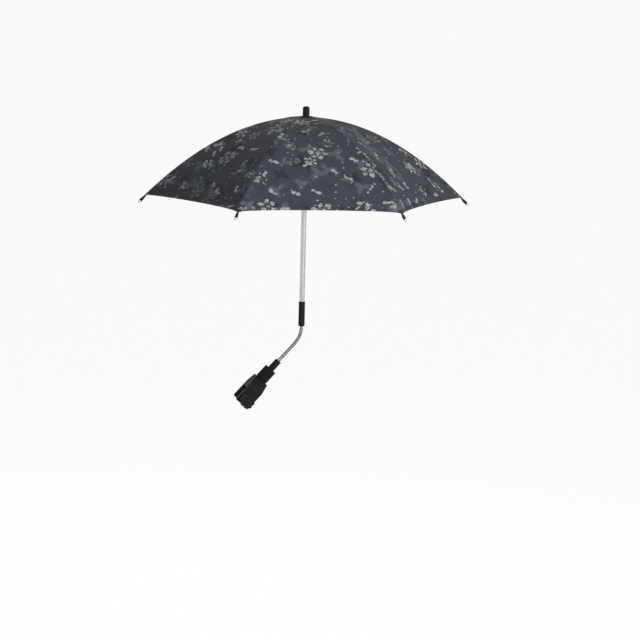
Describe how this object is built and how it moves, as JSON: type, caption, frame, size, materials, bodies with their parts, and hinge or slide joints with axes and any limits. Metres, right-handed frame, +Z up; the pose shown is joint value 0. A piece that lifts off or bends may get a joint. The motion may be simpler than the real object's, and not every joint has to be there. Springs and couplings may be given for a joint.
{
  "type": "pram parasol",
  "caption": "Folding pram parasol: printed cloth canopy on hinged ribs, bright pole with a sliding runner, flexible arm, and a screw clamp for a round push-bar tube.",
  "frame": {"origin": "centre of the clamped tube, midway along the clamp's jaw", "axes": "+Z up along the pole, +X the way the stem leans, -Y towards the clamp's knob"},
  "size_m": [0.6953, 0.603, 0.6348],
  "materials": {
    "printed_polyester": "matt dark grey woven polyester with a pale print",
    "anodised_aluminium": "bright satin drawn tube",
    "zinc_plated_steel": "plated spring steel",
    "hose_steel": "grey wound steel hose",
    "black_nylon": "moulded black nylon, fine texture",
    "black_rubber": "matt black rubber",
    "insert_brass": "turned brass"
  },
  "bodies": {
    "clamp": {"clamp_body": "black_nylon", "jaw_pad": "black_rubber", "thread_insert": "insert_brass"},
    "shoe": {"pressure_shoe": "black_nylon", "shoe_pad": "black_rubber"},
    "screw": {"clamp_screw": "zinc_plated_steel", "clamp_knob": "black_nylon"},
    "stem": {"stem_ferrule": "black_nylon", "gooseneck_root": "hose_steel"},
    "nut": {"stem_nut": "black_nylon"},
    "link_1": {"gooseneck_link_1": "hose_steel"},
    "link_2": {"gooseneck_link_2": "hose_steel"},
    "link_3": {"gooseneck_link_3": "hose_steel"},
    "link_4": {"gooseneck_link_4": "hose_steel"},
    "link_5": {"gooseneck_link_5": "hose_steel"},
    "link_6": {"gooseneck_link_6": "hose_steel"},
    "link_7": {"gooseneck_link_7": "hose_steel"},
    "mast": {"gooseneck_tip": "hose_steel", "pole_sleeve": "black_nylon", "pole": "anodised_aluminium", "crown": "black_nylon", "crown_wire": "zinc_plated_steel", "canopy_cap": "black_nylon", "ferrule": "black_nylon"},
    "slider": {"runner": "black_nylon", "runner_wire": "zinc_plated_steel"},
    "catch": {"runner_catch": "zinc_plated_steel"},
    "arm_1": {"rib_1": "zinc_plated_steel", "rib_tip_1": "black_nylon", "stretcher_rivet_1": "zinc_plated_steel", "canopy_gore_1": "printed_polyester"},
    "arm_2": {"rib_2": "zinc_plated_steel", "rib_tip_2": "black_nylon", "stretcher_rivet_2": "zinc_plated_steel", "canopy_gore_2": "printed_polyester"},
    "arm_3": {"rib_3": "zinc_plated_steel", "rib_tip_3": "black_nylon", "stretcher_rivet_3": "zinc_plated_steel", "canopy_gore_3": "printed_polyester"},
    "arm_4": {"rib_4": "zinc_plated_steel", "rib_tip_4": "black_nylon", "stretcher_rivet_4": "zinc_plated_steel", "canopy_gore_4": "printed_polyester"},
    "arm_5": {"rib_5": "zinc_plated_steel", "rib_tip_5": "black_nylon", "stretcher_rivet_5": "zinc_plated_steel", "canopy_gore_5": "printed_polyester"},
    "arm_6": {"rib_6": "zinc_plated_steel", "rib_tip_6": "black_nylon", "stretcher_rivet_6": "zinc_plated_steel", "canopy_gore_6": "printed_polyester"},
    "strut_1": {"stretcher_1": "zinc_plated_steel"},
    "strut_2": {"stretcher_2": "zinc_plated_steel"},
    "strut_3": {"stretcher_3": "zinc_plated_steel"},
    "strut_4": {"stretcher_4": "zinc_plated_steel"},
    "strut_5": {"stretcher_5": "zinc_plated_steel"},
    "strut_6": {"stretcher_6": "zinc_plated_steel"}
  },
  "joints": [
    {"name": "screw_turn", "type": "hinge", "parent": "shoe", "child": "screw", "pos_m": [0, 0, 0], "axis": [0, 1, 0], "range_deg": [-360.1, 1080.1]},
    {"name": "shoe_slide", "type": "slide", "parent": "clamp", "child": "shoe", "axis": [0, 1, 0], "range_m": [-0.004, 0.012]},
    {"name": "stem_turn", "type": "hinge", "parent": "clamp", "child": "stem", "pos_m": [0, 0, 0], "axis": [0.6691, 0, 0.7431], "range_deg": [-120, 120]},
    {"name": "nut_turn", "type": "hinge", "parent": "clamp", "child": "nut", "pos_m": [0, 0, 0], "axis": [0.6691, 0, 0.7431], "range_deg": [-270, 0]},
    {"name": "neck_bend_1", "type": "hinge", "parent": "stem", "child": "link_1", "pos_m": [0.07093, 0, 0.07877], "axis": [0, 1, 0], "range_deg": [-15, 15]},
    {"name": "neck_sway_2", "type": "hinge", "parent": "link_1", "child": "link_2", "pos_m": [0.07862, 0, 0.08732], "axis": [0.7431, 0, -0.6691], "range_deg": [-15, 15]},
    {"name": "neck_bend_3", "type": "hinge", "parent": "link_2", "child": "link_3", "pos_m": [0.08632, 0, 0.09587], "axis": [0, 1, 0], "range_deg": [-15, 15]},
    {"name": "neck_sway_4", "type": "hinge", "parent": "link_3", "child": "link_4", "pos_m": [0.09401, 0, 0.10441], "axis": [0.7431, 0, -0.6691], "range_deg": [-15, 15]},
    {"name": "neck_bend_5", "type": "hinge", "parent": "link_4", "child": "link_5", "pos_m": [0.10171, 0, 0.11296], "axis": [0, 1, 0], "range_deg": [-15, 15]},
    {"name": "neck_sway_6", "type": "hinge", "parent": "link_5", "child": "link_6", "pos_m": [0.10876, 0, 0.12204], "axis": [0.8429, 0, -0.538], "range_deg": [-15, 15]},
    {"name": "neck_bend_7", "type": "hinge", "parent": "link_6", "child": "link_7", "pos_m": [0.11403, 0, 0.13226], "axis": [0, 1, 0], "range_deg": [-15, 15]},
    {"name": "neck_sway_8", "type": "hinge", "parent": "link_7", "child": "mast", "pos_m": [0.11654, 0, 0.14349], "axis": [0.994, 0, -0.1097], "range_deg": [-15, 15]},
    {"name": "runner_slide", "type": "slide", "parent": "mast", "child": "slider", "axis": [0, 0, -1], "range_m": [0, 0.17584], "deforming": ["canopy_gore_1", "canopy_gore_2", "canopy_gore_3", "canopy_gore_4", "canopy_gore_5", "canopy_gore_6", "runner_catch"]},
    {"name": "catch_press", "type": "slide", "parent": "mast", "child": "catch", "axis": [0, -1, 0], "range_m": [-0.0026, 0], "stiffness_N_per_m": 1500},
    {"name": "rib_hinge_1", "type": "hinge", "parent": "mast", "child": "arm_1", "pos_m": [0.12654, 0, 0.58767], "axis": [0, 1, 0], "range_deg": [-0.1, 61.7]},
    {"name": "rib_hinge_2", "type": "hinge", "parent": "mast", "child": "arm_2", "pos_m": [0.12154, 0.00866, 0.58767], "axis": [-0.866, 0.5, 0], "range_deg": [-0.1, 61.7]},
    {"name": "rib_hinge_3", "type": "hinge", "parent": "mast", "child": "arm_3", "pos_m": [0.11154, 0.00866, 0.58767], "axis": [-0.866, -0.5, 0], "range_deg": [-0.1, 61.7]},
    {"name": "rib_hinge_4", "type": "hinge", "parent": "mast", "child": "arm_4", "pos_m": [0.10654, 0, 0.58767], "axis": [0, -1, 0], "range_deg": [-0.1, 61.7]},
    {"name": "rib_hinge_5", "type": "hinge", "parent": "mast", "child": "arm_5", "pos_m": [0.11154, -0.00866, 0.58767], "axis": [0.866, -0.5, 0], "range_deg": [-0.1, 61.7]},
    {"name": "rib_hinge_6", "type": "hinge", "parent": "mast", "child": "arm_6", "pos_m": [0.12154, -0.00866, 0.58767], "axis": [0.866, 0.5, 0], "range_deg": [-0.1, 61.7]},
    {"name": "strut_hinge_1", "type": "hinge", "parent": "arm_1", "child": "strut_1", "pos_m": [0.26654, 0, 0.55434], "axis": [0, 1, 0], "range_deg": [-104.89, 0.1]},
    {"name": "strut_hinge_2", "type": "hinge", "parent": "arm_2", "child": "strut_2", "pos_m": [0.19154, 0.1299, 0.55434], "axis": [-0.866, 0.5, 0], "range_deg": [-104.89, 0.1]},
    {"name": "strut_hinge_3", "type": "hinge", "parent": "arm_3", "child": "strut_3", "pos_m": [0.04154, 0.1299, 0.55434], "axis": [-0.866, -0.5, 0], "range_deg": [-104.89, 0.1]},
    {"name": "strut_hinge_4", "type": "hinge", "parent": "arm_4", "child": "strut_4", "pos_m": [-0.03346, 0, 0.55434], "axis": [0, -1, 0], "range_deg": [-104.89, 0.1]},
    {"name": "strut_hinge_5", "type": "hinge", "parent": "arm_5", "child": "strut_5", "pos_m": [0.04154, -0.1299, 0.55434], "axis": [0.866, -0.5, 0], "range_deg": [-104.89, 0.1]},
    {"name": "strut_hinge_6", "type": "hinge", "parent": "arm_6", "child": "strut_6", "pos_m": [0.19154, -0.1299, 0.55434], "axis": [0.866, 0.5, 0], "range_deg": [-104.89, 0.1]}
  ],
  "couplings": [
    {"joint": "rib_hinge_1", "follows": "runner_slide", "rad_per_m": 6.1138},
    {"joint": "rib_hinge_2", "follows": "runner_slide", "rad_per_m": 6.1138},
    {"joint": "rib_hinge_3", "follows": "runner_slide", "rad_per_m": 6.1138},
    {"joint": "rib_hinge_4", "follows": "runner_slide", "rad_per_m": 6.1138},
    {"joint": "rib_hinge_5", "follows": "runner_slide", "rad_per_m": 6.1138},
    {"joint": "rib_hinge_6", "follows": "runner_slide", "rad_per_m": 6.1138},
    {"joint": "strut_hinge_1", "follows": "runner_slide", "rad_per_m": -10.401},
    {"joint": "strut_hinge_2", "follows": "runner_slide", "rad_per_m": -10.401},
    {"joint": "strut_hinge_3", "follows": "runner_slide", "rad_per_m": -10.401},
    {"joint": "strut_hinge_4", "follows": "runner_slide", "rad_per_m": -10.401},
    {"joint": "strut_hinge_5", "follows": "runner_slide", "rad_per_m": -10.401},
    {"joint": "strut_hinge_6", "follows": "runner_slide", "rad_per_m": -10.401},
    {"joint": "screw_turn", "follows": "shoe_slide", "rad_per_m": 1570.8}
  ]
}
